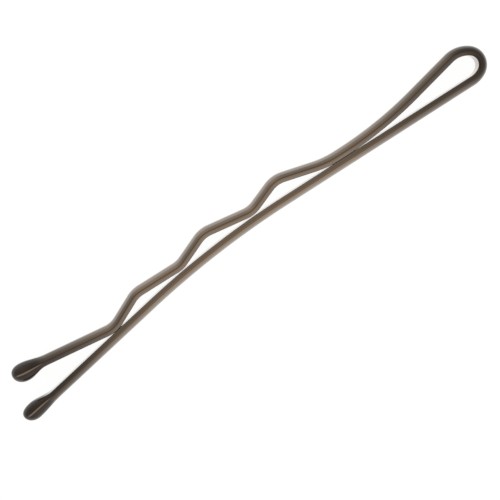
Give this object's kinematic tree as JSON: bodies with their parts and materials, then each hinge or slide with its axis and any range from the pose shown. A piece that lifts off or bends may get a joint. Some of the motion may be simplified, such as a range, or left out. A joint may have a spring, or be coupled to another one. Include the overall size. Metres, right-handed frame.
{
  "type": "bobby pin",
  "caption": "Bobby pin: a crowned flat wire folded into a spring loop, with a plain leg, a wavy leg that presses on it to grip hair, and a dipped resin bead over each wire end.",
  "frame": {"origin": "centre of the loop's round end, at the middle of the wire's width", "axes": "+X along the pin towards the end of the loop, +Y from the straight leg to the crimped leg, +Z across the width of the wire, so that the pin lies on its side"},
  "size_m": [0.0499, 0.0049, 0.0018],
  "materials": {
    "lacquered_wire": "spring steel with a satin baked brown lacquer",
    "tip_resin": "dark brown dipped resin, glossy"
  },
  "bodies": {
    "bend": {"spring_bend": "lacquered_wire"},
    "straight_leg": {"straight_leg": "lacquered_wire", "straight_tip": "tip_resin"},
    "crimped_leg": {"crimped_leg": "lacquered_wire", "crimped_tip": "tip_resin"}
  },
  "joints": [
    {"name": "straight_leg_flex", "type": "hinge", "parent": "bend", "child": "straight_leg", "pos_m": [-0.00199, -0.00119, 0], "axis": [0, 0, 1], "range_deg": [0, 8], "stiffness_Nm_per_rad": 0.68},
    {"name": "crimped_leg_flex", "type": "hinge", "parent": "bend", "child": "crimped_leg", "pos_m": [-0.00257, 0.00126, 0], "axis": [0, 0, -1], "range_deg": [0, 8], "stiffness_Nm_per_rad": 0.68}
  ]
}
